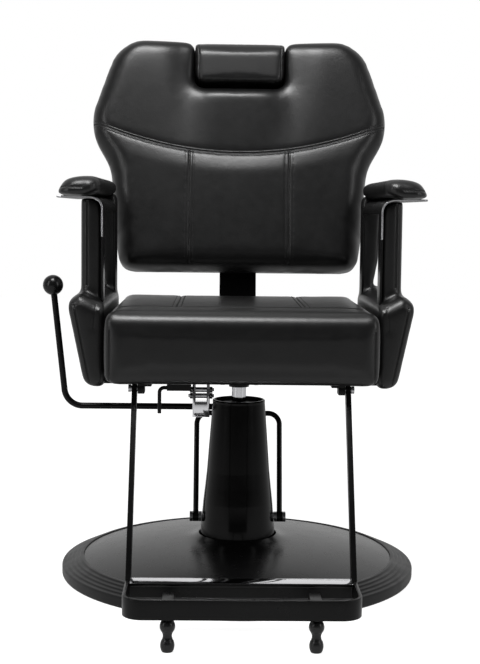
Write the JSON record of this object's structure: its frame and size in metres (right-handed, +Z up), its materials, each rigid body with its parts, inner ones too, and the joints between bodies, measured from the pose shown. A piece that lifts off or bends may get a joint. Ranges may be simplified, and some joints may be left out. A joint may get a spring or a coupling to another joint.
{
  "type": "reclining salon chair",
  "caption": "Upholstered black reclining chair on a round hydraulic base, with a winged back, sliding headrest, padded arms, swinging footrest and hand pump lever.",
  "frame": {"origin": "on the floor, at the middle of the base under the column", "axes": "+Z up, the sitter faces -Y, +X is the sitter's left"},
  "size_m": [0.729, 0.908, 1.068],
  "materials": {
    "black_leather": "satin, fine grain",
    "gloss_black": "gloss black",
    "satin_black": "satin black",
    "rim_black": "matte black",
    "chrome": "polished",
    "zinc_steel": "zinc plated",
    "plywood": "black covered board",
    "knob_black": "polished black",
    "foot_black": "satin black"
  },
  "bodies": {
    "base": {"base_plate": "satin_black", "base_rim": "rim_black", "base_dome": "gloss_black", "swivel_bearing": "zinc_steel"},
    "turret": {"turntable": "zinc_steel", "column_cover": "gloss_black", "pump_cylinder": "zinc_steel", "cylinder_gland": "zinc_steel", "pump_pin_left": "zinc_steel", "pump_pin_right": "zinc_steel"},
    "bail": {"pump_bail": "satin_black", "lever_clamp": "chrome", "clamp_bolts": "chrome", "pump_lever": "satin_black", "lever_ball": "knob_black"},
    "carrier": {"piston": "chrome", "seat_hub": "satin_black", "hub_bolts": "zinc_steel", "carrier_plate": "satin_black", "seat_pan": "plywood", "seat_rail_left": "satin_black", "seat_rail_right": "satin_black", "arm_cross_bar_front": "satin_black", "arm_cross_bar_rear": "satin_black", "seat_cushion": "black_leather", "footrest_hangers": "satin_black", "footrest_pins": "zinc_steel", "back_hinge_bracket_left": "satin_black", "back_hinge_bracket_right": "satin_black", "back_hinge_pin": "zinc_steel", "lock_cylinder": "zinc_steel", "lock_saddles": "satin_black", "release_bearing": "satin_black", "arm_bracket_left": "satin_black", "arm_post_front_left": "black_leather", "arm_post_rear_left": "black_leather", "side_bolster_left": "black_leather", "arm_pad_left": "black_leather", "arm_bracket_right": "satin_black", "arm_post_front_right": "black_leather", "arm_post_rear_right": "black_leather", "side_bolster_right": "black_leather", "arm_pad_right": "black_leather"},
    "footrest": {"footrest_frame": "satin_black", "footrest_tread": "satin_black", "footrest_strut_left": "satin_black", "footrest_strut_right": "satin_black", "foot_lugs": "satin_black", "footrest_foot_left": "foot_black", "footrest_foot_right": "foot_black"},
    "back": {"back_post": "satin_black", "back_board": "plywood", "back_cushion": "black_leather", "headrest_sleeve": "zinc_steel"},
    "headrest": {"headrest_bar": "zinc_steel", "headrest_board": "plywood", "headrest_cushion": "black_leather"},
    "lock_rod": {"lock_rod": "zinc_steel"},
    "release": {"release_handle": "satin_black"}
  },
  "joints": [
    {"name": "swivel", "type": "hinge", "parent": "base", "child": "turret", "pos_m": [0, 0, 0], "axis": [0, 0, 1], "continuous": true},
    {"name": "pump_swing", "type": "hinge", "parent": "turret", "child": "bail", "pos_m": [0, 0, 0.105], "axis": [-1, 0, 0], "range_deg": [0, 14], "stiffness_Nm_per_rad": 30, "springref_deg": -5.73},
    {"name": "lift", "type": "slide", "parent": "turret", "child": "carrier", "axis": [0, 0, 1], "range_m": [0, 0.18]},
    {"name": "recline", "type": "hinge", "parent": "carrier", "child": "back", "pos_m": [0, 0.272, 0.44], "axis": [-1, 0, 0], "range_deg": [0, 50]},
    {"name": "footrest_swing", "type": "hinge", "parent": "carrier", "child": "footrest", "pos_m": [0, -0.235, 0.388], "axis": [-1, 0, 0], "range_deg": [0, 40]},
    {"name": "lock_slide", "type": "slide", "parent": "carrier", "child": "lock_rod", "axis": [0, -1, 0], "range_m": [0, 0.06349]},
    {"name": "headrest_slide", "type": "slide", "parent": "back", "child": "headrest", "axis": [0, 0.2079, 0.9781], "range_m": [0, 0.08]},
    {"name": "release_turn", "type": "hinge", "parent": "carrier", "child": "release", "pos_m": [0, -0.06, 0.366], "axis": [-1, 0, 0], "range_deg": [0, 25]}
  ],
  "couplings": [
    {"joint": "footrest_swing", "follows": "recline", "ratio": 0.8},
    {"joint": "lock_slide", "follows": "recline", "m_per_rad": 0.07264}
  ]
}
